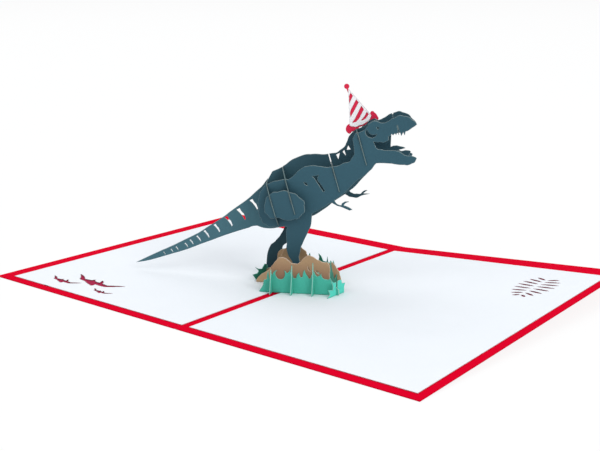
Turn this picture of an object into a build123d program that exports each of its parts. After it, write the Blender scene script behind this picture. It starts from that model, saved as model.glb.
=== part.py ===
from build123d import *
import os
from math import cos, radians, sin, tan

# A pop-up greeting card, open flat: a folded red cover with a pale lining on each panel, a small rock mound
# with grass across the fold, and a dinosaur in a party hat that stands on it, all slotted from thin card.
#
# Millimetres. The origin is the middle of the fold at table level. X runs across the fold towards the right
# panel, Y along the fold towards the back edge, and Z up. Slices of the mound and the animal are drawn in
# their own upright planes, as distances along the animal and heights above the table.

os.makedirs("parts", exist_ok=True)

# Cover and linings
fold_length = 178.0
panel_width = 127.0
cover_thickness = 0.4
score_width = 1.2
score_depth = 0.15
lining_thickness = 0.3
glue_line = 0.08
left_border = 8.0
right_border = 3.9
front_border = 4.5
back_border = 11.4
fold_border = 2.2
fold_skew = 1.9
corner_lift = 9.6

# Card of the slices, and how the slices fit each other
card_thickness = 0.4
layer_thickness = 0.3
slot_play = 0.04
seat_gap = 0.1

# Directions: the animal's turn away from X, the lean of its rib slots, and how far the ribs have swung
long_turn = 25.0
rib_lean = 16.5
rib_swing = 15.0

# Places of the parallel slices, measured across the animal, away from the front edge
body_spread = 9.0
thigh_spread = 13.0
hat_place = 1.3
grass_place = 20.2
rock_place = 19.78
near_rock_place = -5.0
far_rock_place = 4.5

# Lattice of the mound
cross_middle = -0.5
cross_pitch = 10.3
cross_reach = 24.6
cross_back = 22.8
end_place = 17.6
end_front = 19.3
end_back = 3.2
mound_slot_height = 4.6
right_tuft_x = 27.3
left_tuft_x = -20.5
tuft_slot_height = 2.8
tab_width = 4.0
tab_play = 0.15

# Ribs of the animal
rib_rim = 0.35
rib_overhang = 0.7
snout_overhang = 0.25
rib_end_drop = 1.2

# Small cuts
eye_radius = 0.55
pompom_radius = 1.25
cone_inset = 0.15
hat_play = 0.03
hat_grip = 3.0
hat_stem_width = 3.2

cross_places = [cross_middle - cross_pitch, cross_middle, cross_middle + cross_pitch]

# Tabs of the mound's slices: where along the slice each passes through the linings
tab_places = {
    -grass_place: [-14.4],
    -rock_place: [-4.4, 14.2],
    near_rock_place: [-16.0, 14.2],
    far_rock_place: [-15.6, 13.4],
    rock_place: [-14.4, 5.4],
    grass_place: [3.0],
}

up = Vector(0, 0, 1)
along_axis = Vector(cos(radians(long_turn)), sin(radians(long_turn)), 0)
across_axis = up.cross(along_axis)
slot_axis = up * cos(radians(rib_lean)) - along_axis * sin(radians(rib_lean))
rib_axis = across_axis * cos(radians(rib_swing)) + slot_axis.cross(across_axis) * sin(radians(rib_swing))

lining_bottom = cover_thickness + glue_line
seat_height = lining_bottom + lining_thickness + seat_gap
mound_slot_width = card_thickness + 2 * slot_play
rib_slot_width = (
    card_thickness / cos(radians(rib_swing)) + card_thickness * tan(radians(rib_swing)) + 2 * slot_play
)
tuft_slot_width = (
    card_thickness / cos(radians(long_turn)) + card_thickness * tan(radians(long_turn)) + 2 * slot_play
)


def lift(x, y):
    """How far the twisted right panel has risen at a place; the left panel lies flat."""
    return corner_lift * max(x, 0) / panel_width * (y / fold_length + 0.5)


def place_on_card(along, across):
    """X and Y of a place given along and across the animal."""
    spot = along_axis * along + across_axis * across
    return spot.X, spot.Y


def profile_plane(across, thickness=card_thickness):
    """Back face of a slice that runs along the animal. Its X runs along the animal and its Y upwards."""
    return Plane(origin=across_axis * (across + thickness / 2), x_dir=along_axis, z_dir=-across_axis)


def cross_plane(along):
    """Left face of a cross slice of the mound. Its X runs across the animal and its Y upwards."""
    return Plane(origin=along_axis * (along - card_thickness / 2), x_dir=across_axis, z_dir=along_axis)


def ground_on_profile(along, across):
    """Point of a profile slice where it stands on the lining."""
    return along, seat_height + lift(*place_on_card(along, across))


def foot_line(start, end, across):
    """Lower edge of a profile slice between two places, bent where it passes over the fold."""
    fold_crossing = across * tan(radians(long_turn))
    middle = [fold_crossing] if min(start, end) < fold_crossing < max(start, end) else []
    return [[ground_on_profile(along, across)] for along in (start, *middle, end)]


def cross_foot_line(start, end, along):
    """Lower edge of a cross slice between two places, bent where it passes over the fold."""
    fold_crossing = along / tan(radians(long_turn))
    middle = [fold_crossing] if min(start, end) < fold_crossing < max(start, end) else []
    return [
        [(across, seat_height + lift(*place_on_card(along, across)))] for across in (start, *middle, end)
    ]


def moved_runs(runs, along, height):
    """The same runs of points, moved."""
    return [[(x + along, y + height) for x, y in run] for run in runs]


def straight(points):
    """Runs for an outline of straight cuts."""
    return [[point] for point in points]


def turned(direction, chord):
    """Direction at the far end of an arc that starts in a direction and spans a chord."""
    return chord * (2 * chord.dot(direction) / chord.dot(chord)) - direction


def draw_arc(start, end, direction):
    """Arc that leaves its start in a direction, or a line where that points straight at its end."""
    chord = end - start
    if abs(chord.X * direction.Y - chord.Y * direction.X) < 0.002 * chord.length:
        Line(start, end)
    else:
        TangentArc(start, end, tangent=direction)


def draw_smooth(points):
    """Smooth curve of arcs through points. Two arcs that share a tangent lie between each pair of points."""
    spots = [Vector(*point) for point in points]
    chords = [after - before for before, after in zip(spots, spots[1:])]
    inner = [
        (back * (1 / back.dot(back)) + ahead * (1 / ahead.dot(ahead))).normalized()
        for back, ahead in zip(chords, chords[1:])
    ]
    directions = [turned(inner[0], chords[0]), *inner, turned(inner[-1], chords[-1])]
    for start, chord, leaving, arriving in zip(spots, chords, directions, directions[1:]):
        bend = 2 * (1 - leaving.dot(arriving))
        pull = chord.dot(leaving + arriving)
        if bend < 1e-6:
            reach = chord.dot(chord) / (2 * pull)
        else:
            reach = ((pull * pull + 2 * bend * chord.dot(chord)) ** 0.5 - pull) / bend
        joint = start + (chord + (leaving - arriving) * reach) * 0.5
        draw_arc(start, joint, leaving)
        draw_arc(joint, start + chord, turned(leaving, joint - start))


def flat_shape(runs):
    """Flat shape inside a closed outline of runs of points. A run of one point is a straight cut, a run of
    two an arc, and a longer one a smooth curve."""
    start = runs[-1][-1]
    with BuildSketch() as flat:
        with BuildLine():
            for run in runs:
                if len(run) == 1:
                    Line(start, run[0])
                elif len(run) == 2:
                    ThreePointArc(start, *run)
                else:
                    draw_smooth([start, *run])
                start = run[-1]
        make_face()
    return flat.sketch


def thorn_shape(length):
    """Thorn cut through the card, with a flared head at upper left and a tail that bends down to a point."""
    runs = [
        [(0.26, 0.14)],
        [(0.37, -0.06), (0.57, -0.25)],
        [(0.71, -0.62)],
        [(0.64, -0.73)],
        [(0.45, -0.44), (0.2, -0.15)],
        [(0.0, 0.0)],
    ]
    return flat_shape([[(x * length, y * length) for x, y in run] for run in runs])


def cut_thorns(places):
    """Cut a thorn at each place, given as its left corner and its length."""
    for along, height, length in places:
        with Locations((along, height)):
            add(thorn_shape(length), mode=Mode.SUBTRACT)


# Outlines of the animal's slices, drawn along and above the card

nose_tip = (55.2, 82.8)
mouth_back = (42.2, 76.8)

hip_and_neck = [
    [(-11.4, 30.7), (-16.3, 30.9), (-19.1, 33.6), (-20.3, 38.6), (-20.3, 44.0), (-18.7, 48.3),
     (-15.4, 51.5), (-11.2, 53.1), (-5.7, 54.0)],
    [(-3.3, 55.8), (0.2, 59.2), (3.3, 60.8), (8.4, 61.2), (14.7, 61.1), (20.6, 63.0), (24.8, 65.4),
     (26.1, 69.0), (25.8, 72.6), (25.8, 75.6), (27.9, 77.9)],
    [(31.7, 80.4), (33.7, 82.8), (35.8, 83.7), (38.8, 82.9), (43.6, 85.0), (48.8, 86.5), (52.6, 85.2),
     nose_tip],
]
upper_teeth = straight([
    (53.5, 81.5), (52.5, 80.6), (51.2, 79.7), (50.1, 79.3), (49.8, 77.5), (49.1, 79.0), (48.2, 77.2),
    (47.6, 78.9), (47.0, 77.5), (46.4, 79.1), (45.8, 77.5), (45.2, 78.4), (44.4, 77.3), (43.7, 78.0),
    (43.0, 76.9), mouth_back,
])
mouth_and_jaw = [
    [(41.4, 74.5), (38.8, 74.0), (35.2, 74.1)],
    [(38.8, 70.6), (42.3, 70.3), (46.8, 70.0), (51.2, 68.1), (53.8, 68.0), (55.6, 67.1)],
    [(53.7, 64.7), (50.0, 63.8), (43.9, 64.1), (36.4, 63.8)],
    [(33.7, 60.1), (27.3, 54.9), (22.0, 49.2), (16.9, 45.4)],
]
near_arm = [
    [(18.2, 43.5), (20.3, 42.9)],
    [(21.2, 44.2), (22.5, 44.8), (24.0, 44.7)],
    [(22.5, 44.1), (21.5, 42.9)],
    [(23.0, 42.5), (25.7, 41.1)],
    [(24.4, 40.6)],
    [(23.3, 41.0), (20.6, 42.0), (17.6, 42.9), (15.5, 44.2)],
]
near_belly = [
    [(11.0, 41.0), (6.1, 37.9)],
]
near_leg_front = [
    [(4.4, 29.6), (2.0, 24.2), (0.4, 19.4), (0.0, 14.4), (2.4, 8.2), (7.4, 4.2)],
]
near_leg_back = [
    [(-3.7, 8.6), (-3.5, 12.8), (-5.5, 16.2), (-6.4, 22.2), (-6.1, 30.8)],
]
far_arm = [
    [(21.5, 45.4), (23.8, 45.0), (26.2, 45.2)],
    [(27.2, 46.4), (29.4, 47.0)],
    [(28.2, 46.1), (27.3, 45.3)],
    [(30.6, 45.3)],
    [(27.8, 44.6), (22.5, 43.1), (19.6, 43.8), (17.0, 45.6)],
]
far_leg_front = [
    [(-4.6, 29.0), (-9.6, 20.0), (-13.2, 13.6), (-11.6, 9.2), (-7.0, 4.6)],
]
far_leg_back = [
    [(-22.0, 5.2), (-21.6, 9.6)],
    [(-20.8, 13.6), (-19.4, 16.6)],
    [(-16.6, 19.2), (-14.3, 22.2), (-12.6, 25.4), (-11.2, 28.4)],
]

# Identical slices of a swung lattice lie apart along the ribs, so the far ones stand back along the body
swing_back = -tan(radians(rib_swing)) * cos(radians(rib_lean))
swing_down = -tan(radians(rib_swing)) * sin(radians(rib_lean))
far_shift = (2 * body_spread * swing_back, 2 * body_spread * swing_down)

near_outline = [
    *hip_and_neck,
    *upper_teeth,
    *mouth_and_jaw,
    *near_arm,
    *near_belly,
    *near_leg_front,
    *foot_line(7.4, -6.2, -body_spread),
    *near_leg_back,
]
far_outline = [
    *moved_runs(hip_and_neck, *far_shift),
    *moved_runs(upper_teeth, *far_shift),
    *moved_runs(mouth_and_jaw[:3], *far_shift),
    [(25.0, 53.6), (20.3, 46.5)],
    *far_arm,
    *moved_runs(near_belly, *far_shift),
    *far_leg_front,
    *foot_line(-7.0, -22.6, body_spread),
    *far_leg_back,
]
spine_outline = [
    [(-77.5, 10.6), (-65.2, 16.8), (-50.2, 25.6), (-37.9, 34.4), (-24.9, 44.9), (-18.9, 50.6)],
    [(-16.0, 55.8)],
    [(-11.0, 58.4), (-4.4, 62.9), (3.0, 65.1), (12.1, 65.8), (17.2, 67.6), (20.4, 71.2), (22.2, 75.2),
     (28.0, 79.1), (32.9, 82.3)],
    [(37.8, 83.8), (42.4, 86.4), (46.9, 87.0), (51.2, 84.6), (54.0, 81.4)],
    [(51.8, 79.8), (46.1, 77.3), (42.0, 76.6)],
    [(41.8, 70.0)],
    [(43.6, 71.0), (45.8, 70.9), (48.9, 70.1)],
    [(46.6, 69.4), (44.9, 69.0)],
    [(47.2, 68.7), (49.4, 69.1), (51.4, 68.6)],
    [(49.4, 65.7), (44.0, 63.8), (35.4, 62.6)],
    [(28.8, 54.9), (23.0, 48.7), (15.7, 43.3), (9.8, 38.4), (4.1, 34.7), (-4.6, 30.6), (-12.3, 28.1),
     (-17.4, 27.1)],
    [(-21.5, 27.4), (-24.6, 28.0), (-27.9, 26.9), (-47.6, 19.2), (-67.5, 11.2), (-88.7, 4.8)],
]
thigh_outline = [
    [(-16.1, 42.7), (-14.5, 46.2), (-10.4, 48.4), (-4.3, 48.7), (0.2, 46.9), (3.2, 42.8), (2.2, 38.4),
     (-1.2, 35.8), (-8.8, 35.9), (-14.4, 36.6), (-16.3, 39.4)],
]

near_shape = flat_shape(near_outline)
far_shape = flat_shape(far_outline)
spine_shape = flat_shape(spine_outline)
near_thigh_shape = flat_shape(thigh_outline)
far_thigh_shape = flat_shape(
    moved_runs(thigh_outline, 2 * thigh_spread * swing_back, 2 * thigh_spread * swing_down)
)

# Thorn cuts: left corner and length. Those of the tail shrink towards its tip
tail_thorns = [
    (-27.8, 40.6, 6.1),
    (-34.6, 35.5, 6.8),
    (-40.8, 31.2, 5.9),
    (-46.7, 27.0, 4.9),
    (-52.0, 23.5, 4.4),
    (-55.9, 20.6, 3.5),
    (-59.5, 18.4, 3.0),
    (-62.2, 16.5, 2.6),
    (-67.1, 14.3, 2.3),
    (-69.8, 12.9, 2.1),
    (-73.8, 11.2, 1.8),
]
flank_thorn = [
    [(9.4, 56.9)],
    [(8.6, 55.1), (9.7, 53.2)],
    [(12.4, 49.5)],
    [(11.6, 48.9)],
    [(9.1, 52.4), (7.2, 55.3)],
    [(6.0, 56.1)],
]
flank_nick = [(1.9, 53.0), (3.3, 53.0), (4.0, 51.6), (2.8, 51.8)]
neck_holes = [
    [(15.6, 65.4), (17.4, 66.4), (16.7, 63.1)],
    [(18.7, 66.9), (19.6, 67.9), (20.5, 65.0)],
    [(20.7, 68.0), (21.4, 70.2), (22.7, 68.3)],
]
eye_place = (37.2, 80.5)
brow_cut = [
    [(32.3, 79.4)],
    [(34.0, 77.4), (36.9, 77.7)],
    [(34.6, 75.8), (31.4, 78.9)],
]

# Ribs: a point that each passes on the middle slice, the lowest height that it hangs to, and how far its top
# lies below the tops of the outer slices and of the middle one
rib_places = {
    "rear_hip_rib": ((-15.4, 39.0), 31.1, -rib_rim, 0.2),
    "front_hip_rib": ((-7.3, 46.0), 37.7, -rib_rim, 0.2),
    "chest_rib": ((14.6, 56.8), 49.0, -rib_rim, 5.6),
    "neck_rib": ((28.0, 68.2), 62.4, 0.2, -rib_rim),
    "snout_rib": ((43.9, 81.3), 80.2, 1.6, 3.6),
}


def rib_point(place, across):
    """Where a rib's slot line passes a slice, as a distance along and a height."""
    return place[0] + across * swing_back, place[1] + across * swing_down


def rib_span(shape, place, across, lowest):
    """Lower and upper end of the stretch of a rib's slot line that lies inside a slice."""
    along, height = rib_point(place, across)
    lean_x, lean_y = -sin(radians(rib_lean)), cos(radians(rib_lean))
    reach = fold_length
    line = Edge.make_line(
        (along - lean_x * reach, height - lean_y * reach),
        (along + lean_x * reach, height + lean_y * reach),
    )
    stretches = []
    for piece in shape.face().intersect(line) or []:
        ends = sorted(
            (point.X - along) * lean_x + (point.Y - height) * lean_y
            for point in (piece.start_point(), piece.end_point())
        )
        if ends[0] < 0 < ends[1]:
            stretches.append(ends)
    bottom, top = stretches[0]
    return max(bottom, (lowest - height) / lean_y), top


def rib_crossings(place, lowest, outer_drop, middle_drop, with_thighs):
    """Each slice that a rib passes: its place across, the span of the rib's slot line inside it, and the
    rib's own lower and upper edge there."""
    slices = [(-body_spread, near_shape), (0.0, spine_shape), (body_spread, far_shape)]
    if with_thighs:
        slices = [(-thigh_spread, near_thigh_shape), *slices, (thigh_spread, far_thigh_shape)]
    crossings = []
    for across, shape in slices:
        bottom, top = rib_span(shape, place, across, lowest)
        drop = outer_drop if across else middle_drop
        crossings.append((across, bottom, top, bottom - rib_rim, top - drop))
    return crossings


ribs = {}
for name, (place, lowest, outer_drop, middle_drop) in rib_places.items():
    crossings = rib_crossings(place, lowest, outer_drop, middle_drop, with_thighs="hip" in name)
    ribs[name] = (place, crossings)


def hangs_below(name, across):
    """Whether a rib enters a slice from below. The snout's rib does, from between the teeth."""
    return name == "snout_rib" and across != 0


def cut_rib_slots(across):
    """Slots of a slice for its ribs: open at the top, or at the teeth, and ending halfway along the rib."""
    for name, (place, crossings) in ribs.items():
        for slice_across, bottom, top, rib_bottom, rib_top in crossings:
            if slice_across == across:
                along, height = rib_point(place, across)
                middle = (rib_bottom + rib_top) / 2
                lean_x, lean_y = -sin(radians(rib_lean)), cos(radians(rib_lean))
                below = hangs_below(name, across)
                length = middle - bottom + 6 * rib_slot_width if below else top - middle + rib_slot_width
                with Locations((along + middle * lean_x, height + middle * lean_y)):
                    Rectangle(
                        rib_slot_width,
                        length,
                        rotation=rib_lean,
                        align=(Align.CENTER, Align.MAX if below else Align.MIN),
                        mode=Mode.SUBTRACT,
                    )


def cut_mound_slots(places, across):
    """Slots of a profile slice that rides on the cross slices: open at the foot."""
    for along in places:
        top = mound_slot_height + lift(*place_on_card(along, across)) + slot_play
        with Locations((along, top)):
            Rectangle(
                mound_slot_width, 2 * mound_slot_height, align=(Align.CENTER, Align.MAX), mode=Mode.SUBTRACT
            )


def add_tabs(across):
    """Tabs under a slice, which pass through the lining and end on the cover."""
    for along in tab_places[across]:
        rise = lift(*place_on_card(along + tab_width / 2, across))
        with Locations((along, lining_bottom + rise)):
            Rectangle(tab_width, 2 * lining_thickness + seat_gap, align=(Align.CENTER, Align.MIN))


def tuft_crossing(tuft_x, across):
    """Where a tuft crosses a profile slice, along the slice."""
    return (tuft_x + across * sin(radians(long_turn))) / cos(radians(long_turn))


def tuft_y(tuft_x, across):
    """Where a tuft crosses a profile slice, as a place along the fold."""
    return place_on_card(tuft_crossing(tuft_x, across), across)[1]


# Cover: one folded sheet. The left panel lies flat and the right one twists up to its back corner
with BuildPart() as cover:
    with BuildSketch():
        with Locations((-panel_width / 2, 0)):
            Rectangle(panel_width, fold_length)
    extrude(amount=cover_thickness)
    for edge in (-fold_length / 2, fold_length / 2):
        rise = lift(panel_width, edge)
        with BuildSketch(Plane(origin=(0, edge, 0), x_dir=(1, 0, 0), z_dir=(0, -1, 0))):
            with BuildLine():
                Polyline(
                    (0, 0),
                    (panel_width, rise),
                    (panel_width, rise + cover_thickness),
                    (0, cover_thickness),
                    close=True,
                )
            make_face()
    loft(ruled=True)
    with BuildSketch(Plane.XZ):
        with BuildLine():
            Polyline((-score_width / 2, 0), (0, score_depth), (score_width / 2, 0), close=True)
        make_face()
    extrude(amount=fold_length, both=True, mode=Mode.SUBTRACT)
cover.part.label = "cover"


def cut_tab_slits():
    """Slits for the tabs in a lining."""
    for across, places in tab_places.items():
        for along in places:
            with Locations(Location((*place_on_card(along, across), 0), (0, 0, long_turn))):
                Rectangle(
                    tab_width + 2 * tab_play, card_thickness + 2 * tab_play, mode=Mode.SUBTRACT
                )


# The linings' edges. Both are glued slightly askew along the fold, towards the right at the front
lining_front = front_border - fold_length / 2
lining_back = fold_length / 2 - back_border
left_lining_corners = [
    (left_border - panel_width, lining_front),
    (fold_skew - fold_border, lining_front),
    (-fold_skew - fold_border, lining_back),
    (left_border - panel_width, lining_back),
]
right_lining_corners = [
    (fold_skew + fold_border, lining_front),
    (panel_width - right_border, lining_front),
    (panel_width - right_border, lining_back),
    (fold_border - fold_skew, lining_back),
]

# Gliding reptiles cut in the left lining: a long crested head, two narrow wings and a thin tail. Each has its
# distance from the panel's outer side and from its front edge, and its length
flyer_runs = [
    [(-0.33, 0.06), (-0.25, 0.0)],
    [(-0.12, 0.02)],
    [(-0.1, 0.07)],
    [(-0.04, 0.02), (0.07, 0.01)],
    [(0.02, 0.1)],
    [(0.09, 0.06), (0.13, 0.0)],
    [(0.26, -0.02)],
    [(0.36, 0.05), (0.5, 0.12)],
    [(0.38, 0.0), (0.29, -0.08)],
    [(0.2, -0.09), (0.08, -0.08)],
    [(0.09, -0.16)],
    [(-0.02, -0.13), (-0.16, -0.07)],
    [(-0.3, -0.05)],
    [(-0.37, 0.03), (-0.5, 0.13)],
]
flyer_places = [(33.2, 15.4, 21.0), (47.8, 23.6, 34.0), (61.8, 14.6, 13.5)]

# Left lining
with BuildPart() as left_lining:
    with BuildSketch(Plane.XY.offset(lining_bottom)):
        add(flat_shape(straight(left_lining_corners)))
        cut_tab_slits()
        for from_side, from_front, span in flyer_places:
            with Locations((from_side - panel_width, from_front - fold_length / 2)):
                add(
                    flat_shape([[(px * span, py * span) for px, py in run] for run in flyer_runs]),
                    mode=Mode.SUBTRACT,
                )
    extrude(amount=lining_thickness)
left_lining.part.label = "left_lining"

# Fern frond cut in the right lining: pairs of slim leaflets on both sides of a bare stem line. Each pair has
# its place along the stem, the length of its leaflets and their turn towards the tip
frond_from_side = 26.4
frond_from_back = 54.0
leaflet_width = 1.2
leaflet_gap = 0.7
leaflet_pairs = [
    (0.0, 4.0, -38.0),
    (3.4, 6.2, -24.0),
    (6.8, 8.0, -12.0),
    (10.4, 9.0, -3.0),
    (14.0, 9.6, 4.0),
    (17.6, 9.4, 10.0),
    (21.2, 8.4, 16.0),
    (24.4, 6.2, 26.0),
]

# Right lining, which follows the twist of the panel
with BuildPart() as right_lining:
    for edge in (lining_front, lining_back):
        far_x = panel_width - right_border
        far_z = lining_bottom + lift(far_x, edge)
        with BuildSketch(Plane(origin=(0, edge, 0), x_dir=(1, 0, 0), z_dir=(0, -1, 0))):
            with BuildLine():
                Polyline(
                    (0, lining_bottom),
                    (far_x, far_z),
                    (far_x, far_z + lining_thickness),
                    (0, lining_bottom + lining_thickness),
                    close=True,
                )
            make_face()
    loft(ruled=True)
    with BuildSketch() as right_cuts:
        add(flat_shape(straight(right_lining_corners)))
        cut_tab_slits()
        for from_root, length, turn in leaflet_pairs:
            stem_spot = (panel_width - frond_from_side, fold_length / 2 - frond_from_back + from_root, 0)
            leaflet = flat_shape([
                [(length * 0.5, leaflet_width / 2), (length, 0)],
                [(length * 0.5, -leaflet_width / 2), (leaflet_gap, 0)],
            ])
            for heading in (turn, 180 - turn):
                with Locations(Location(stem_spot, (0, 0, heading))):
                    add(leaflet, mode=Mode.SUBTRACT)
    extrude(amount=corner_lift + 2, mode=Mode.INTERSECT)
right_lining.part.label = "right_lining"

# Middle slice of the animal, from the tail's tip to the snout
with BuildPart() as spine_slice:
    with BuildSketch(profile_plane(0)):
        add(spine_shape)
        cut_thorns(tail_thorns)
        for corners in neck_holes:
            add(flat_shape(straight(corners)), mode=Mode.SUBTRACT)
        cut_rib_slots(0.0)
    extrude(amount=card_thickness)
spine_slice.part.label = "spine_slice"


def cut_face(shift):
    """Eye, brow, flank thorn and nick of a body slice."""
    with Locations(shift):
        with Locations(eye_place):
            Circle(eye_radius, mode=Mode.SUBTRACT)
        for cut in (brow_cut, flank_thorn, straight(flank_nick)):
            add(flat_shape(cut), mode=Mode.SUBTRACT)


# Body slices on each side, each with its leg and arm
with BuildPart() as near_body_slice:
    with BuildSketch(profile_plane(-body_spread)):
        add(near_shape)
        cut_face((0.0, 0.0))
        cut_rib_slots(-body_spread)
        cut_mound_slots([cross_middle], -body_spread)
    extrude(amount=card_thickness)
near_body_slice.part.label = "near_body_slice"

with BuildPart() as far_body_slice:
    with BuildSketch(profile_plane(body_spread)):
        add(far_shape)
        cut_face(far_shift)
        cut_rib_slots(body_spread)
        cut_mound_slots([cross_middle - cross_pitch], body_spread)
    extrude(amount=card_thickness)
far_body_slice.part.label = "far_body_slice"

# Thigh pads outside them
with BuildPart() as near_thigh_slice:
    with BuildSketch(profile_plane(-thigh_spread)):
        add(near_thigh_shape)
        cut_rib_slots(-thigh_spread)
    extrude(amount=card_thickness)
near_thigh_slice.part.label = "near_thigh_slice"

with BuildPart() as far_thigh_slice:
    with BuildSketch(profile_plane(thigh_spread)):
        add(far_thigh_shape)
        cut_rib_slots(thigh_spread)
    extrude(amount=card_thickness)
far_thigh_slice.part.label = "far_thigh_slice"

pieces = [
    cover,
    left_lining,
    right_lining,
    spine_slice,
    near_body_slice,
    far_body_slice,
    near_thigh_slice,
    far_thigh_slice,
]

# Ribs across the animal. Each stands a rim proud of the slices and has slots open at its lower edge
for name, (place, crossings) in ribs.items():
    rib_normal = rib_axis.cross(slot_axis)
    rib_face = along_axis * place[0] + up * place[1] - rib_normal * (card_thickness / 2)
    swing = cos(radians(rib_swing))
    with BuildPart() as rib:
        with BuildSketch(Plane(origin=rib_face, x_dir=rib_axis, z_dir=rib_normal)):
            tops = [(across / swing, rib_top) for across, bottom, top, rib_bottom, rib_top in crossings]
            feet = [(across / swing, rib_bottom) for across, bottom, top, rib_bottom, rib_top in crossings]
            overhang = snout_overhang if name == "snout_rib" else rib_overhang
            near_end = tops[0][0] - overhang
            far_end = tops[-1][0] + overhang
            half = len(tops) // 2
            rim_line = [
                *straight(tops[:half]),
                tops[half : half + 2],
                *straight(tops[half + 2 :]),
                [(far_end, tops[-1][1] - rib_end_drop)],
                [(far_end, feet[-1][1] + rib_end_drop)],
                *straight(reversed(feet)),
                [(near_end, feet[0][1] + rib_end_drop)],
                [(near_end, tops[0][1] - rib_end_drop)],
            ]
            add(flat_shape(rim_line))
            for across, bottom, top, rib_bottom, rib_top in crossings:
                middle = (rib_bottom + rib_top) / 2
                below = hangs_below(name, across)
                with Locations((across / swing, middle - slot_play if below else middle + slot_play)):
                    Rectangle(
                        rib_slot_width,
                        middle - rib_bottom + 3 * rib_slot_width,
                        align=(Align.CENTER, Align.MIN if below else Align.MAX),
                        mode=Mode.SUBTRACT,
                    )
            if name == "neck_rib":
                hat_rib_top = tops[1][1]
                with Locations((hat_place / swing, hat_rib_top - hat_grip)):
                    Rectangle(
                        rib_slot_width,
                        2 * hat_grip,
                        align=(Align.CENTER, Align.MIN),
                        mode=Mode.SUBTRACT,
                    )
        extrude(amount=card_thickness)
    rib.part.label = name
    pieces.append(rib)

# Party hat: a red slice with a pompom and a brim, and a white cone with slanted windows on each side of it
cone_tip = (20.9, 96.8)
cone_right = (32.2, 84.7)
cone_left = (21.8, 79.6)
cone_base = [(0.779, 0.336), (0.47, 0.652), (0.194, 0.892), (0.0, 1.0)]
window_shares = [
    [(0.104, 0.026), (0.2, 0.039), (0.065, 0.297), (0.021, 0.4), (0.021, 0.177)],
    [(0.343, 0.032), (0.448, 0.039), (0.242, 0.411), (0.05, 0.74), (0.038, 0.63), (0.084, 0.505)],
    [(0.562, 0.052), (0.667, 0.072), (0.449, 0.475), (0.304, 0.68), (0.115, 0.85), (0.271, 0.6)],
    [(0.802, 0.04), (0.88, 0.048), (0.74, 0.275), (0.572, 0.45), (0.526, 0.48), (0.668, 0.28)],
]


def cone_point(right_share, left_share):
    """A point of the hat's cone, by its shares of the way from the tip to each lower corner."""
    x = (cone_right[0] - cone_tip[0]) * right_share + (cone_left[0] - cone_tip[0]) * left_share
    y = (cone_right[1] - cone_tip[1]) * right_share + (cone_left[1] - cone_tip[1]) * left_share
    return cone_tip[0] + x, cone_tip[1] + y


cone_outline = [[cone_right], [cone_point(*shares) for shares in cone_base], [cone_tip]]
brim_outline = [
    [(20.5, 79.5), (19.9, 77.9)],
    [(20.5, 76.2), (21.9, 75.5)],
    [(24.9, 78.0), (29.6, 80.5), (31.6, 82.4), (35.0, 82.7)],
    [(35.5, 83.4), (35.1, 84.3), (34.5, 85.3), (33.5, 86.1)],
    [(32.4, 86.8), (31.6, 86.0)],
    [(31.4, 84.3)],
    [(26.7, 80.8), (22.0, 80.4)],
]
pompom_place = (20.1, 98.0)
pompom_stalk = [[(19.8, 97.4)], [(20.6, 97.6)], [(21.7, 94.2)], [(21.1, 94.2)]]
cone_shape = flat_shape(cone_outline)
core_shape = offset(cone_shape, amount=-cone_inset)
cone_windows = [flat_shape(straight(cone_point(*shares) for shares in corners)) for corners in window_shares]

# The stem has its slot below, and goes down over the neck rib between the two necks
neck_place = rib_point(rib_places["neck_rib"][0], hat_place)


def stem_point(height):
    """Place on the hat's slice at a height along the neck rib."""
    return neck_place[0] - height * sin(radians(rib_lean)), neck_place[1] + height * cos(radians(rib_lean))


with BuildPart() as hat_slice:
    with BuildSketch(profile_plane(hat_place, layer_thickness)):
        with Locations(stem_point(hat_rib_top + hat_grip)):
            Rectangle(
                hat_stem_width, 3 * hat_grip, rotation=rib_lean, align=(Align.CENTER, Align.MAX)
            )
        with Locations(stem_point(hat_rib_top - hat_grip + slot_play)):
            Rectangle(
                rib_slot_width,
                2 * hat_grip,
                rotation=rib_lean,
                align=(Align.CENTER, Align.MAX),
                mode=Mode.SUBTRACT,
            )
        add(core_shape)
        add(flat_shape(brim_outline))
        add(flat_shape(pompom_stalk))
        with Locations(pompom_place):
            Circle(pompom_radius)
    extrude(amount=layer_thickness)
hat_slice.part.label = "hat_slice"
pieces.append(hat_slice)

for name, side in (("hat_near_face", -1), ("hat_far_face", 1)):
    with BuildPart() as hat_face:
        with BuildSketch(
            profile_plane(hat_place + side * (layer_thickness + hat_play), layer_thickness)
        ):
            add(cone_shape)
            for window in cone_windows:
                add(window, mode=Mode.SUBTRACT)
        extrude(amount=layer_thickness)
    hat_face.part.label = name
    pieces.append(hat_face)

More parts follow.
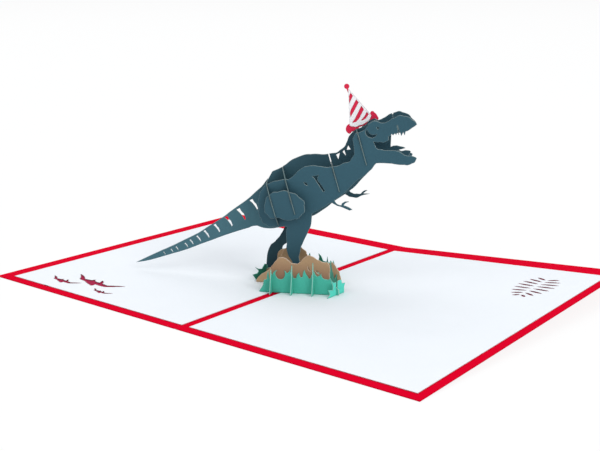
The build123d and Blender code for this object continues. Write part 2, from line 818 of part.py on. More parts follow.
# Grass strips along the front and the back of the mound
front_blades = [
    [(-16.3, 2.3), (-15.2, 4.4)],
    [(-14.8, 6.8)],
    [(-13.3, 7.2)],
    [(-13.1, 9.6), (-12.6, 11.3)],
    [(-12.3, 9.0), (-12.0, 7.4)],
    [(-11.2, 8.0), (-10.4, 9.6)],
    [(-9.7, 11.1), (-8.0, 12.0)],
    [(-9.0, 10.8), (-8.8, 9.1)],
    [(-7.0, 7.6), (-4.7, 8.8)],
    [(-4.3, 10.4), (-4.7, 12.2)],
    [(-3.4, 10.9)],
    [(-2.4, 11.6), (-1.8, 12.8)],
    [(-1.4, 10.9), (-0.6, 9.2)],
    [(0.4, 8.6), (1.3, 9.0)],
    [(1.8, 10.6), (2.8, 11.7)],
    [(2.8, 10.4), (3.5, 9.2)],
    [(4.4, 9.6)],
    [(4.6, 11.4), (5.2, 13.1)],
    [(5.9, 11.3), (7.0, 9.8)],
    [(7.6, 9.0), (8.4, 9.4)],
    [(9.0, 11.2), (10.1, 12.7)],
    [(10.5, 11.2), (11.4, 10.3)],
    [(12.2, 10.6), (13.4, 11.9)],
    [(13.8, 10.2), (14.8, 9.3)],
    [(16.7, 9.1)],
    [(18.1, 9.9)],
    [(18.6, 8.2), (19.8, 6.6)],
    [(21.9, 4.4)],
]
back_blades = [
    (-16.2, 3.4), (-15.0, 5.6), (-13.9, 4.6), (-12.2, 7.0), (-11.2, 5.4), (-8.6, 6.0), (-7.2, 8.4),
    (-6.0, 6.4), (-3.4, 7.6), (-2.1, 10.5), (-1.6, 8.2), (0.8, 7.0), (2.6, 6.9), (2.9, 8.6),
    (2.4, 10.5), (3.9, 9.0), (4.9, 6.6), (6.7, 6.2), (7.1, 9.1), (7.5, 6.0), (9.2, 5.6), (10.5, 6.3),
    (11.3, 3.6),
]
# Rocks, from front to back
front_stones = [
    [(-12.9, 6.0)],
    [(-11.7, 6.8), (-11.3, 8.2), (-11.8, 12.8)],
    [(-10.4, 14.5), (-8.9, 16.5), (-6.8, 18.2), (-3.2, 17.3), (-0.2, 15.8), (2.4, 16.3), (5.0, 19.0),
     (8.2, 20.0), (11.2, 18.5), (16.2, 17.5)],
    [(17.2, 16.0), (17.3, 12.2)],
    [(17.4, 9.0)],
    [(19.2, 6.3), (21.9, 4.4)],
]
near_stones = [
    [(-23.1, 1.5)],
    [(-21.9, 3.4), (-19.2, 5.6), (-16.8, 7.3)],
    [(-10.6, 14.4)],
    [(-9.8, 16.4), (-8.6, 18.5), (-4.2, 19.6), (0.4, 19.3), (2.5, 17.0)],
    [(4.2, 14.2)],
    [(9.4, 12.6), (15.3, 13.5)],
    [(17.4, 10.9), (19.1, 7.6), (19.6, 4.4)],
]
far_stones = [
    [(-22.4, 2.6)],
    [(-20.6, 4.9), (-18.0, 5.9)],
    [(-16.0, 7.4)],
    [(-15.2, 9.8), (-14.8, 12.4)],
    [(-14.0, 14.6), (-12.0, 15.9)],
    [(-8.0, 16.5), (-3.4, 15.4)],
    [(-1.6, 13.0)],
    [(1.8, 12.2), (6.0, 10.8)],
    [(9.4, 10.0), (12.6, 9.2)],
    [(15.2, 7.2), (16.8, 3.6)],
]
back_stones = [
    [(-17.0, 3.0)],
    [(-14.4, 5.4), (-10.4, 6.2)],
    [(-6.0, 6.7), (-1.8, 7.2)],
    [(2.0, 6.6), (5.4, 5.8)],
    [(8.2, 5.4), (10.6, 5.4)],
    [(12.0, 2.8)],
]
crack_cuts = [
    [(6.8, 14.9), (7.6, 14.3), (8.3, 12.4), (7.3, 12.8), (6.7, 13.9)],
    [(10.1, 13.3), (11.3, 12.9), (12.7, 11.8), (12.3, 11.3), (11.0, 12.1)],
]

# Each slice of the mound that runs along the animal: name, place across, outline, right and left end
mound_slices = [
    ("front_grass", -grass_place, front_blades, 22.0, -17.3),
    ("front_rock", -rock_place, front_stones, 22.0, -13.2),
    ("near_middle_rock", near_rock_place, near_stones, 20.5, -23.1),
    ("far_middle_rock", far_rock_place, far_stones, 17.0, -22.6),
    ("back_rock", rock_place, back_stones, 12.2, -17.2),
    ("back_grass", grass_place, straight(back_blades), 12.2, -16.4),
]
# Tufts of grass parallel to the fold: place across the fold, the slices that each is slotted on, the blades,
# from back to front, and the front and the back foot
tufts = {
    "right_tuft": (
        right_tuft_x,
        [-grass_place, -rock_place],
        [
            (-3.6, 4.9), (-2.8, 6.4), (-5.3, 6.7), (-5.8, 8.6), (-7.7, 8.8), (-9.0, 8.4), (-11.3, 8.2),
            (-12.8, 9.2), (-14.0, 11.2), (-12.0, 6.5), (-12.2, 4.9), (-15.8, 5.6), (-14.5, 4.0),
            (-14.6, 2.8),
        ],
        [-16.3, -3.6],
    ),
    "left_tuft": (
        left_tuft_x,
        [far_rock_place],
        [
            (-3.2, 3.0), (-3.4, 5.1), (-4.0, 7.0), (-5.9, 7.9), (-8.1, 5.7), (-10.9, 6.3), (-13.1, 7.7),
            (-10.5, 5.1), (-11.6, 4.1), (-15.1, 4.2), (-13.7, 2.5),
        ],
        [-12.5, -3.0],
    ),
}

for name, across, outline, right_end, left_end in mound_slices:
    with BuildPart() as mound_slice:
        with BuildSketch(profile_plane(across)):
            add(flat_shape([*outline, *foot_line(right_end, left_end, across)]))
            add_tabs(across)
            cut_mound_slots(cross_places, across)
            if across == near_rock_place:
                cut_mound_slots([end_place], across)
            for tuft_x, crossed, blades, feet in tufts.values():
                if across in crossed:
                    along = tuft_crossing(tuft_x, across)
                    with Locations((along, tuft_slot_height + lift(tuft_x, 0) + slot_play)):
                        Rectangle(
                            tuft_slot_width,
                            2 * tuft_slot_height,
                            align=(Align.CENTER, Align.MAX),
                            mode=Mode.SUBTRACT,
                        )
            if name == "front_rock":
                for corners in crack_cuts:
                    add(flat_shape(straight(corners)), mode=Mode.SUBTRACT)
        extrude(amount=card_thickness)
    mound_slice.part.label = name
    pieces.append(mound_slice)

# Green slices across the mound, with a blade standing in front of the front strip and one behind the back
cross_tops = [
    [(-13.0, 9.4)],
    [(-8.0, 10.2), (0.0, 10.0), (8.0, 8.6)],
    [(12.0, 8.6)],
    [(15.0, 6.2)],
    [(17.6, 7.4)],
    [(grass_place + 1.1, 4.8)],
    [(grass_place + 1.9, 6.6)],
]
cross_slices = {
    "left_cross_slice": (cross_places[0], 12.6, [body_spread]),
    "middle_cross_slice": (cross_places[1], 15.6, [-body_spread]),
    "right_cross_slice": (cross_places[2], 17.4, []),
}
double_place = (grass_place + rock_place) / 2
double_width = mound_slot_width + grass_place - rock_place


def cut_cross_slots(slots, along):
    """Slots of a cross slice, open at the top. Each has its place across and its width."""
    for across, width in slots:
        with Locations((across, mound_slot_height + lift(*place_on_card(along, across)))):
            Rectangle(width, fold_length, align=(Align.CENTER, Align.MIN), mode=Mode.SUBTRACT)


for name, (along, blade_height, legs) in cross_slices.items():
    front = [
        [(0.8 - cross_reach, 4.2), (-grass_place - 2.0, blade_height)],
        [(-grass_place - 1.1, 9.6)],
        [(-18.0, 10.6), (-14.6, 9.4)],
    ]
    slots = [(across, mound_slot_width) for across in (near_rock_place, far_rock_place, *legs)]
    slots += [(-double_place, double_width), (double_place, double_width)]
    with BuildPart() as cross_slice:
        with BuildSketch(cross_plane(along)):
            add(flat_shape([*front, *cross_tops, *cross_foot_line(cross_back, -cross_reach, along)]))
            cut_cross_slots(slots, along)
        extrude(amount=card_thickness)
    cross_slice.part.label = name
    pieces.append(cross_slice)

# Short cross slice at the right end, with one tall blade behind the front strip
end_blades = [
    [(-end_front, 12.6), (-19.0, 18.2)],
    [(-17.2, 14.4), (-13.6, 10.2)],
    [(-11.6, 7.6), (-8.6, 6.4)],
    [(-7.2, 6.8)],
    [(-4.6, 7.4), (-end_back - 0.4, 5.6)],
]
with BuildPart() as end_cross_slice:
    with BuildSketch(cross_plane(end_place)):
        add(flat_shape([*end_blades, *cross_foot_line(-end_back, -end_front, end_place)]))
        cut_cross_slots([(near_rock_place, mound_slot_width)], end_place)
    extrude(amount=card_thickness)
end_cross_slice.part.label = "end_cross_slice"
pieces.append(end_cross_slice)

for name, (tuft_x, crossed, blades, feet) in tufts.items():
    crossings = [tuft_y(tuft_x, across) for across in crossed]
    with BuildPart() as tuft:
        with BuildSketch(
            Plane(origin=(tuft_x - card_thickness / 2, 0, 0), x_dir=(0, 1, 0), z_dir=(1, 0, 0))
        ):
            foot_points = [(y, seat_height + lift(tuft_x, y)) for y in feet]
            add(flat_shape(straight([*blades, *foot_points])))
            with Locations(((min(crossings) + max(crossings)) / 2, tuft_slot_height + lift(tuft_x, 0))):
                Rectangle(
                    tuft_slot_width + max(crossings) - min(crossings),
                    fold_length,
                    align=(Align.CENTER, Align.MIN),
                    mode=Mode.SUBTRACT,
                )
        extrude(amount=card_thickness)
    tuft.part.label = name
    pieces.append(tuft)

for piece in pieces:
    export_step(piece.part, f"parts/{piece.part.label}.step")
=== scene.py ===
"""An open pop-up card on a white table: red cover, pale linings, and a slotted-card dinosaur in a party hat.

The card model gives every piece its shape. Here each sheet gets its own card stock, with the fibre of the
board on its faces and the colour of the cut along its edges. The whole is lit as on a photographer's white
table. Where the photograph has a sheet lighter or darker than these lamps make it, that light or shade is
painted into its colour, as are highlights on the upper corners and shade at the fine cuts.
"""

from math import cos, radians, sin

import bpy
from mathutils import Matrix, Vector

MM = 0.001

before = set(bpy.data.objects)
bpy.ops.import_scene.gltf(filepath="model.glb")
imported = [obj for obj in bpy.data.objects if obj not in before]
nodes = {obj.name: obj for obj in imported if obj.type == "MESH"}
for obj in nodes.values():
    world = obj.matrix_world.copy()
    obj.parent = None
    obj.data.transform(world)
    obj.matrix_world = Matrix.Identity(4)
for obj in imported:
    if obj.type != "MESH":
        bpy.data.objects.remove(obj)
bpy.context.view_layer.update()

# Directions that the sheets' faces look in. The slices along the animal are turned from the card's width,
# and the ribs across them lean back and are swung from square
slice_turn = radians(25.0)
rib_lean = radians(16.5)
rib_swing = radians(15.0)
card_x = Vector((1, 0, 0))
card_up = Vector((0, 0, 1))
along_axis = Vector((cos(slice_turn), sin(slice_turn), 0.0))
across_axis = Vector((-sin(slice_turn), cos(slice_turn), 0.0))
slot_axis = card_up * cos(rib_lean) - along_axis * sin(rib_lean)
rib_axis = across_axis * cos(rib_swing) + slot_axis.cross(across_axis) * sin(rib_swing)
rib_normal = rib_axis.cross(slot_axis)

# Colours of the sheets in plain light, and of their cut edges, and colours of painted light and shade
cover_red = "#DE0028"
# Painted shade: the cover's red in shade under the lining's fine cuts
cover_red_shaded = "#A8304F"
cover_cut = "#D2002C"
lining_white = "#F2F6FA"
# Painted light: pink on the lining's cut edges, the red board's light bounced on to them
lining_edge_painted_red_bounce = "#E58C9C"
# Painted shade: the dark red of the red board seen in shade down the lining's fine cuts
painted_shade_cut_red = "#8E1A3A"
teal = "#345865"
# Painted light: the spine slice lighter along the tail, near the lining that lights it from below
painted_light_tail_teal = "#456C77"
# Painted shade: the spine slice darker where the slices beside it shade it
painted_shade_spine_teal = "#2E4E5A"
# Painted shade: the far leg darker, under the body and behind the near leg
painted_shade_far_leg_teal = "#28454F"
teal_cut = "#9AAAA8"
rib_cut = "#6C8080"
tan = "#A88A69"
# Painted shade: the front rock darker and redder at its foot, between the grass blades
painted_shade_foot_tan = "#84604E"
# Painted light: the near middle rock paler at its foot, where more light reaches it
painted_light_foot_tan = "#C29E7B"
tan_cut = "#F0DCC8"
grass = "#4AB49F"
# Painted light: the tufts lighter than the grass, where the key lamp falls on them
painted_light_tuft_green = "#55D0BB"
grass_cut = "#93D3C2"
# Painted shade: a darker green, and its cut, for the sheets of grass that stand in shade
painted_shade_grass = "#2C7A66"
painted_shade_grass_cut = "#5FA894"
hat_red = "#DA264A"
hat_red_cut = "#E58A97"
hat_white = "#F4F3F5"
hat_white_cut = "#E4E0E2"
table_white = "#FFFFFF"

# Fades of painted light and shade: the colour at a sheet's foot, and the heights in mm between which it
# turns to the sheet's own
front_rock_painted_shade_fade = (painted_shade_foot_tan, 7.0, 17.0)
middle_rock_painted_light_fade = (painted_light_foot_tan, 11.0, 16.0)
tail_painted_light_fade = (painted_light_tail_teal, 36.0, 66.0)
far_leg_painted_shade_fade = (painted_shade_far_leg_teal, 38.0, 54.0)

# Sizes of a stock's texture, in mm. Real fibres are near 0.05 mm wide and too fine to show, so they are
# drawn as coarser clumps. The dye is uneven over some centimetres. The grain is the tooth of the surface
clump_mm = 0.9
cloud_mm = 26.0
grain_mm = clump_mm / 2.2
grain_depth_mm = 0.1
# The spans that most of the noise lies in: clumps and clouds added together, and the grain
mottle_span = (0.6, 1.4)
grain_span = (0.3, 0.7)
# How far the grain takes the roughness up and down
roughness_spread = 0.06

# A surface is a cut edge where the cosine of its turn from the sheet's normal is below the first value, and
# face where it is above the second
cut_facing = (0.6, 0.8)
# A sheet whose normal points upwards by more than this lies flat, and its corners get no painted
# highlight and no rubbing
flat_sheet_z = 0.5
# Corners are rounded in the light over this radius. On an upright sheet the upper ones get a painted
# highlight in the cut's colour, from a slight upward tilt on, and all are rubbed where the rounded normal
# turns from the flat one. Each share says how much of the cut's colour shows at most
rounded_corner_mm = 0.5
corner_samples = 6
painted_highlight_tilt = (0.12, 0.6)
painted_highlight_share = 0.75
rubbed_turn = (0.8, 0.98)
rubbed_share = 0.55
# Beside its fine cuts the lining's rim is painted a dark red: painted shade and the red board's bounced
# light, seen down the slits. The rim takes the dark red of the cuts' sides, and is drawn wider than a real
# one, so that it shows
painted_shade_rim_mm = 0.9
painted_shade_rim_turn = (0.78, 0.985)
painted_shade_rim_share = 0.9

# Place and radius in mm of a circle round each figure cut through the linings: three gliding reptiles on the
# left, a fern on the right
# Inside these circles painted shade and red bounce light darken the cover's face and the lining's cuts
fine_cuts = (
    (-93.8, -73.6, 11.0),
    (-79.2, -65.4, 17.5),
    (-65.2, -74.4, 7.5),
    (100.6, 47.0, 21.0),
)


def linear(hex_colour):
    """An sRGB hex colour as linear light, with an alpha of 1."""
    parts = [int(hex_colour[i : i + 2], 16) / 255 for i in (1, 3, 5)]
    return (*[p / 12.92 if p <= 0.04045 else ((p + 0.055) / 1.055) ** 2.4 for p in parts], 1.0)


def add(tree, kind, settings=None, inputs=None, links=None):
    """A node with its settings, the values of its sockets, and the outputs that feed its sockets."""
    node = tree.nodes.new(kind)
    for name, value in (settings or {}).items():
        setattr(node, name, value)
    for socket, value in (inputs or {}).items():
        node.inputs[socket].default_value = value
    for socket, output in (links or {}).items():
        tree.links.new(output, node.inputs[socket])
    return node


def dyed_face(tree, place, colour, fade, mottle):
    """Colour of a sheet's face: its dye, faintly mottled by clumps of fibre and by uneven dyeing."""
    clumps = add(
        tree,
        "ShaderNodeTexNoise",
        inputs={"Scale": 1 / (clump_mm * MM), "Detail": 4.0, "Roughness": 0.62},
        links={"Vector": place},
    )
    clouds = add(
        tree,
        "ShaderNodeTexNoise",
        inputs={"Scale": 1 / (cloud_mm * MM), "Detail": 2.0},
        links={"Vector": place},
    )
    tone = add(
        tree,
        "ShaderNodeMath",
        {"operation": "ADD"},
        links={0: clumps.outputs["Fac"], 1: clouds.outputs["Fac"]},
    )
    mottling = add(
        tree,
        "ShaderNodeMapRange",
        inputs={
            "From Min": mottle_span[0],
            "From Max": mottle_span[1],
            "To Min": 1 - mottle,
            "To Max": 1 + mottle,
        },
        links={"Value": tone.outputs[0]},
    )
    face = add(
        tree,
        "ShaderNodeVectorMath",
        {"operation": "SCALE"},
        inputs={0: linear(colour)[:3]},
        links={"Scale": mottling.outputs[0]},
    )
    # Painted light or shade: with height the face turns from the foot colour to the sheet's own
    if fade:
        foot_colour, foot_mm, own_mm = fade
        height = add(tree, "ShaderNodeSeparateXYZ", links={0: place})
        rise = add(
            tree,
            "ShaderNodeMapRange",
            inputs={"From Min": foot_mm * MM, "From Max": own_mm * MM},
            links={"Value": height.outputs["Z"]},
        )
        dye = add(
            tree,
            "ShaderNodeMix",
            {"data_type": "RGBA"},
            inputs={6: linear(foot_colour), 7: linear(colour)},
            links={0: rise.outputs[0]},
        )
        tree.links.new(dye.outputs[2], face.inputs[0])
    return face.outputs["Vector"]


def near_fine_cuts(tree, place):
    """A mask of 1 inside the circles round the figures cut through the linings, and 0 elsewhere."""
    near = None
    for cut_x, cut_y, radius in fine_cuts:
        reach = add(
            tree,
            "ShaderNodeVectorMath",
            {"operation": "DISTANCE"},
            inputs={1: (cut_x * MM, cut_y * MM, 0.0)},
            links={0: place},
        )
        inside = add(
            tree,
            "ShaderNodeMath",
            {"operation": "LESS_THAN"},
            inputs={1: radius * MM},
            links={0: reach.outputs["Value"]},
        ).outputs[0]
        if near is not None:
            inside = add(
                tree, "ShaderNodeMath", {"operation": "MAXIMUM"}, links={0: near, 1: inside}
            ).outputs[0]
        near = inside
    return near


def painted_highlight_and_rubbed_corners(tree, rounded, turn):
    """Masks of an upright sheet's corners: a painted highlight on the upper ones, and a little rubbing on
    all.
    """
    upward = add(
        tree,
        "ShaderNodeVectorMath",
        {"operation": "DOT_PRODUCT"},
        inputs={1: tuple(card_up)},
        links={0: rounded},
    )
    painted_upper_highlight = add(
        tree,
        "ShaderNodeMapRange",
        inputs={"From Min": painted_highlight_tilt[0], "From Max": painted_highlight_tilt[1], "To Min": 0.0, "To Max": painted_highlight_share},
        links={"Value": upward.outputs["Value"]},
    )
    rubbed = add(
        tree,
        "ShaderNodeMapRange",
        inputs={
            "From Min": rubbed_turn[0],
            "From Max": rubbed_turn[1],
            "To Min": rubbed_share,
            "To Max": 0.0,
        },
        links={"Value": turn},
    )
    return [painted_upper_highlight.outputs[0], rubbed.outputs[0]]


def painted_shade_rims(tree, turn, near):
    """A mask of the rims beside the fine cuts alone, where painted shade and red bounce light go."""
    rim = add(
        tree,
        "ShaderNodeMapRange",
        inputs={
            "From Min": painted_shade_rim_turn[0],
            "From Max": painted_shade_rim_turn[1],
            "To Min": painted_shade_rim_share,
            "To Max": 0.0,
        },
        links={"Value": turn},
    )
    return add(
        tree, "ShaderNodeMath", {"operation": "MULTIPLY"}, links={0: rim.outputs[0], 1: near}
    ).outputs[0]


def card_stock(
    name,
    colour,
    cut_colour,
    face_axis,
    mottle=0.05,
    tooth=0.12,
    roughness=0.72,
    gloss=0.2,
    corner_mm=rounded_corner_mm,
    fade=None,
    finely_cut=False,
    under_fine_cuts=False,
):
    """Card or paper dyed in the pulp, rolled and cut by laser: a soft fibrous tooth and cut edges that show.

    What doesn't face along face_axis, the sheet's own normal, is its cut edge. mottle, tooth and gloss say
    how uneven the dye, how deep the grain and how strong the shine is. A sheet that is finely_cut has
    painted shade and red bounce light, a dark red, on its rims and sides at the figures cut through it. One
    that is under_fine_cuts has painted shade, a duller red, on its upper face below them. A fade paints
    light or shade towards a sheet's foot, and an upright sheet has a painted highlight on its upper corners."""
    material = bpy.data.materials.new(name)
    material.use_nodes = True
    tree = material.node_tree
    tree.nodes.clear()
    place = add(tree, "ShaderNodeTexCoord").outputs["Object"]
    face = dyed_face(tree, place, colour, fade, mottle)

    normal = add(tree, "ShaderNodeNewGeometry").outputs["True Normal"]
    facing = add(
        tree,
        "ShaderNodeVectorMath",
        {"operation": "DOT_PRODUCT"},
        inputs={1: tuple(face_axis)},
        links={0: normal},
    ).outputs["Value"]
    squareness = add(tree, "ShaderNodeMath", {"operation": "ABSOLUTE"}, links={0: facing})
    cut = add(
        tree,
        "ShaderNodeMapRange",
        inputs={"From Min": cut_facing[0], "From Max": cut_facing[1], "To Min": 1.0, "To Max": 0.0},
        links={"Value": squareness.outputs[0]},
    )
    rounded = add(
        tree, "ShaderNodeBevel", {"samples": corner_samples}, inputs={"Radius": corner_mm * MM}
    ).outputs["Normal"]
    turn = add(
        tree, "ShaderNodeVectorMath", {"operation": "DOT_PRODUCT"}, links={0: rounded, 1: normal}
    ).outputs["Value"]

    # The cut's colour shows on the cut edges, as a painted highlight on upper corners and as rubbing
    edge_masks = [cut.outputs[0]]
    if abs(face_axis.z) < flat_sheet_z:
        edge_masks += painted_highlight_and_rubbed_corners(tree, rounded, turn)
    # Painted shade and red bounce light on the rims beside the fine cuts
    if finely_cut:
        near = near_fine_cuts(tree, place)
        edge_masks.append(painted_shade_rims(tree, turn, near))
    edge = edge_masks[0]
    for mask in edge_masks[1:]:
        edge = add(
            tree, "ShaderNodeMath", {"operation": "MAXIMUM"}, links={0: edge, 1: mask}
        ).outputs[0]

    # Painted shade: the upper face turns a duller red inside the circles under the fine cuts
    if under_fine_cuts:
        upper_side = add(
            tree, "ShaderNodeMath", {"operation": "GREATER_THAN"}, inputs={1: 0.0}, links={0: facing}
        )
        shaded = add(
            tree,
            "ShaderNodeMath",
            {"operation": "MULTIPLY"},
            links={0: near_fine_cuts(tree, place), 1: upper_side.outputs[0]},
        )
        face = add(
            tree,
            "ShaderNodeMix",
            {"data_type": "RGBA"},
            inputs={7: linear(cover_red_shaded)},
            links={0: shaded.outputs[0], 6: face},
        ).outputs[2]
    # The face's dye and painted shade, mixed with the cut colour and the painted highlights at the edges
    dyed = add(
        tree,
        "ShaderNodeMix",
        {"data_type": "RGBA"},
        inputs={7: linear(cut_colour)},
        links={0: edge, 6: face},
    )
    # Painted shade: the cut sides at the fine cuts take a dark red
    if finely_cut:
        cut_sides = add(
            tree,
            "ShaderNodeMix",
            {"data_type": "RGBA"},
            inputs={6: linear(cut_colour), 7: linear(painted_shade_cut_red)},
            links={0: near},
        )
        tree.links.new(cut_sides.outputs[2], dyed.inputs[7])

    grain = add(
        tree,
        "ShaderNodeTexNoise",
        inputs={"Scale": 1 / (grain_mm * MM), "Detail": 5.0, "Roughness": 0.7},
        links={"Vector": place},
    ).outputs["Fac"]
    bump = add(
        tree,
        "ShaderNodeBump",
        inputs={"Strength": tooth, "Distance": grain_depth_mm * MM},
        links={"Height": grain, "Normal": rounded},
    )
    rough = add(
        tree,
        "ShaderNodeMapRange",
        inputs={
            "From Min": grain_span[0],
            "From Max": grain_span[1],
            "To Min": roughness - roughness_spread,
            "To Max": roughness + roughness_spread,
        },
        links={"Value": grain},
    )
    shader = add(
        tree,
        "ShaderNodeBsdfPrincipled",
        inputs={"IOR": 1.5, "Specular IOR Level": gloss},
        links={
            "Base Color": dyed.outputs[2],
            "Roughness": rough.outputs[0],
            "Normal": bump.outputs["Normal"],
        },
    )
    add(tree, "ShaderNodeOutputMaterial", links={"Surface": shader.outputs[0]})
    return material


# Cover board, red right through and rolled flat: deep and even, with hardly any shine, and red at its cuts.
# Its upper face has painted shade, a duller red, inside the circles under the lining's fine cuts
red_board = card_stock(
    "red_cover_board",
    cover_red,
    cover_cut,
    card_up,
    mottle=0.03,
    tooth=0.06,
    roughness=0.8,
    gloss=0.01,
    under_fine_cuts=True,
)
# Bleached lining paper, rolled smooth: a cool and even white, with painted red bounce light from the board
# below making its edges pink, and painted shade in dark red at its fine cuts
white_paper = card_stock(
    "white_lining_paper",
    lining_white,
    lining_edge_painted_red_bounce,
    card_up,
    mottle=0.015,
    tooth=0.1,
    corner_mm=painted_shade_rim_mm,
    finely_cut=True,
)
# Teal card of the animal, rolled lightly: faintly clouded and matt, pale grey at its cuts, less so the ribs
teal_slices = card_stock("teal_card_slices", teal, teal_cut, across_axis, mottle=0.08)
teal_ribs = card_stock("teal_card_ribs", teal, rib_cut, rib_normal)
# The spine slice: painted shade makes it darker, and painted light makes it lighter along the tail
spine_teal_painted_shade_and_light = card_stock(
    "spine_teal_card_painted_shade_and_light", painted_shade_spine_teal, teal_cut, across_axis, mottle=0.08, fade=tail_painted_light_fade
)
# The far slices: painted shade darkens their leg
far_side_teal_painted_shade = card_stock(
    "far_slices_teal_card_painted_shade", teal, teal_cut, across_axis, mottle=0.08, fade=far_leg_painted_shade_fade
)
# Tan card of the rocks, the most clouded of the stocks: sandy and matt, cream at its cuts
tan_rocks = card_stock("tan_card", tan, tan_cut, across_axis, mottle=0.09)
# The front rock: painted shade at its foot, a darker and redder tan
front_tan_painted_shade = card_stock("front_tan_card_painted_shade", tan, tan_cut, across_axis, mottle=0.09, fade=front_rock_painted_shade_fade)
# The near middle rock: painted light at its foot, a paler tan
middle_tan_painted_light = card_stock("middle_tan_card_painted_light", tan, tan_cut, across_axis, mottle=0.09, fade=middle_rock_painted_light_fade)
# Green card of the grass: clear and matt, paler at its cuts. Its lighter green on the tufts is painted
# light, and its darker green on the sheets that stand in shade is painted shade
green_strips = card_stock("green_card_strips", grass, grass_cut, across_axis)
green_cross_slices = card_stock("green_card_cross_slices", grass, grass_cut, along_axis)
# The tufts: painted light, a lighter green
tuft_green_painted_light = card_stock("tuft_green_card_painted_light", painted_light_tuft_green, grass_cut, card_x)
# Sheets in shade: painted shade, a darker green
painted_shade_green_strip = card_stock("painted_shade_green_card_strip", painted_shade_grass, painted_shade_grass_cut, across_axis)
painted_shade_green_tuft = card_stock("painted_shade_green_card_tuft", painted_shade_grass, painted_shade_grass_cut, card_x)
painted_shade_green_blade = card_stock("painted_shade_green_card_blade", painted_shade_grass, painted_shade_grass_cut, along_axis)
# Thin card of the hat, rolled smooth: an even red, pink at its cuts, and a white that is greyer at its cuts
red_hat = card_stock("red_hat_card", hat_red, hat_red_cut, across_axis, mottle=0.04)
white_hat = card_stock("white_hat_card", hat_white, hat_white_cut, across_axis, mottle=0.02)

# The stock of each sheet, by its own name where it has one to itself, and else by the ending of its name
own_stocks = {
    "cover": red_board,
    "spine_slice": spine_teal_painted_shade_and_light,
    "far_body_slice": far_side_teal_painted_shade,
    "far_thigh_slice": far_side_teal_painted_shade,
    "front_rock": front_tan_painted_shade,
    "near_middle_rock": middle_tan_painted_light,
    "back_grass": painted_shade_green_strip,
    "left_tuft": painted_shade_green_tuft,
    "end_cross_slice": painted_shade_green_blade,
    "hat_slice": red_hat,
}
shared_stocks = {
    "_lining": white_paper,
    "_rib": teal_ribs,
    "_rock": tan_rocks,
    "_grass": green_strips,
    "_tuft": tuft_green_painted_light,
    "_cross_slice": green_cross_slices,
    "_slice": teal_slices,
    "_face": white_hat,
}
for name, sheet in nodes.items():
    stock = own_stocks.get(name)
    for ending, shared_stock in shared_stocks.items():
        if stock is None and name.endswith(ending):
            stock = shared_stock
    sheet.data.materials.clear()
    sheet.data.materials.append(stock)

# Camera, as the card was photographed
camera_place = Vector((336.24, -413.64, 160.65)) * MM
camera_yaw = radians(-39.33)
camera_pitch = radians(13.81)
camera_roll = radians(0.10)
lens_mm = 67.48
sensor_mm = 36.0
nearest_seen_mm = 10.0

forward = Vector(
    (sin(camera_yaw) * cos(camera_pitch), cos(camera_yaw) * cos(camera_pitch), -sin(camera_pitch))
)
level_right = Vector((cos(camera_yaw), -sin(camera_yaw), 0.0))
level_over = level_right.cross(forward)
right = level_right * cos(camera_roll) + level_over * sin(camera_roll)
over = level_over * cos(camera_roll) - level_right * sin(camera_roll)
camera_data = bpy.data.cameras.new("camera")
camera_data.sensor_width = sensor_mm
camera_data.lens = lens_mm
camera_data.clip_start = nearest_seen_mm * MM
camera = bpy.data.objects.new("camera", camera_data)
camera.matrix_world = Matrix.Translation(camera_place) @ Matrix(
    (right, over, -forward)
).transposed().to_4x4()
bpy.context.scene.collection.objects.link(camera)
bpy.context.scene.camera = camera


def white_rays(tree):
    """Share of the rays that see plain white: the camera's own, and those mirrored or let through."""
    seen = add(tree, "ShaderNodeLightPath")
    rays = seen.outputs["Is Camera Ray"]
    for kind in ("Is Glossy Ray", "Is Transmission Ray"):
        rays = add(
            tree, "ShaderNodeMath", {"operation": "MAXIMUM"}, links={0: rays, 1: seen.outputs[kind]}
        ).outputs[0]
    return rays


# White table that runs on to the horizon, just under the card. The camera sees it mostly as plain white, and
# for the rest as it is lit, so that the card's soft shadow shows
table_reach = 6.0
table_drop_mm = 0.1
plain_white_share = 0.88

table_mesh = bpy.data.meshes.new("table")
corner_signs = ((-1, -1), (1, -1), (1, 1), (-1, 1))
table_mesh.from_pydata(
    [(x * table_reach, y * table_reach, -table_drop_mm * MM) for x, y in corner_signs], [], [(0, 1, 2, 3)]
)
table = bpy.data.objects.new("table", table_mesh)
bpy.context.scene.collection.objects.link(table)
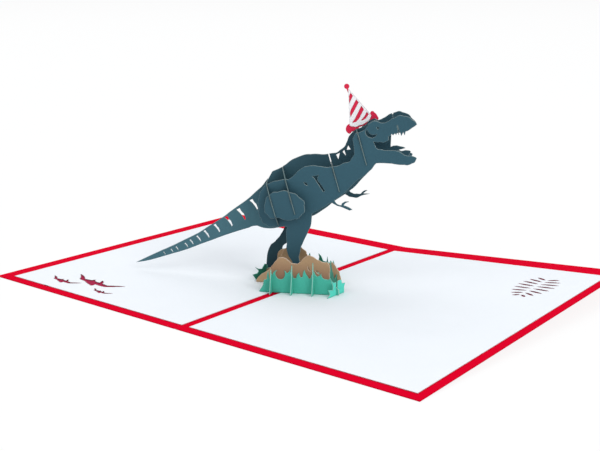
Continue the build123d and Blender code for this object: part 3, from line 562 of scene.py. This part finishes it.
# Sweep paper, bleached and uncoated: white with no shine at all
sweep_paper = bpy.data.materials.new("white_sweep_paper")
sweep_paper.use_nodes = True
tree = sweep_paper.node_tree
tree.nodes.clear()
paper = add(tree, "ShaderNodeBsdfDiffuse", inputs={"Color": linear(table_white)})
plain_white = add(tree, "ShaderNodeEmission", inputs={"Color": linear(table_white), "Strength": 1.0})
share = add(
    tree,
    "ShaderNodeMath",
    {"operation": "MULTIPLY"},
    inputs={1: plain_white_share},
    links={0: white_rays(tree)},
)
surface = add(
    tree,
    "ShaderNodeMixShader",
    links={0: share.outputs[0], 1: paper.outputs[0], 2: plain_white.outputs[0]},
)
add(tree, "ShaderNodeOutputMaterial", links={"Surface": surface.outputs[0]})
table_mesh.materials.append(sweep_paper)

# Soft light from all round, a little cool, and plain white where the camera sees it. The colour is linear
room_colour = (0.95, 0.97, 1.0, 1.0)
room_strength = 0.65

world = bpy.data.worlds.new("white_room")
world.use_nodes = True
bpy.context.scene.world = world
tree = world.node_tree
tree.nodes.clear()
room = add(tree, "ShaderNodeBackground", inputs={"Color": room_colour, "Strength": room_strength})
plain_white = add(
    tree, "ShaderNodeBackground", inputs={"Color": linear(table_white), "Strength": 1.0}
)
background = add(
    tree,
    "ShaderNodeMixShader",
    links={0: white_rays(tree), 1: room.outputs[0], 2: plain_white.outputs[0]},
)
add(tree, "ShaderNodeOutputWorld", links={"Surface": background.outputs[0]})

# Square studio lamps turned to the card: name, place and width in metres, power in watts
lamp_target = Vector((0, 0, 0.05))
lamps = (
    ("key_lamp", (2.4, -0.4, 1.6), 1.3, 30.0),
    ("fill_lamp", (-0.8, -2.2, 1.8), 1.8, 8.0),
    ("top_lamp", (-1.2, 0.9, 2.4), 2.4, 21.0),
)
for name, place, width, power in lamps:
    lamp_data = bpy.data.lights.new(name, "AREA")
    lamp_data.size = width
    lamp_data.energy = power
    lamp = bpy.data.objects.new(name, lamp_data)
    lamp.location = place
    lamp.rotation_mode = "QUATERNION"
    lamp.rotation_quaternion = (lamp_target - Vector(place)).to_track_quat("-Z", "Y")
    bpy.context.scene.collection.objects.link(lamp)

bpy.context.scene.view_settings.view_transform = "Standard"
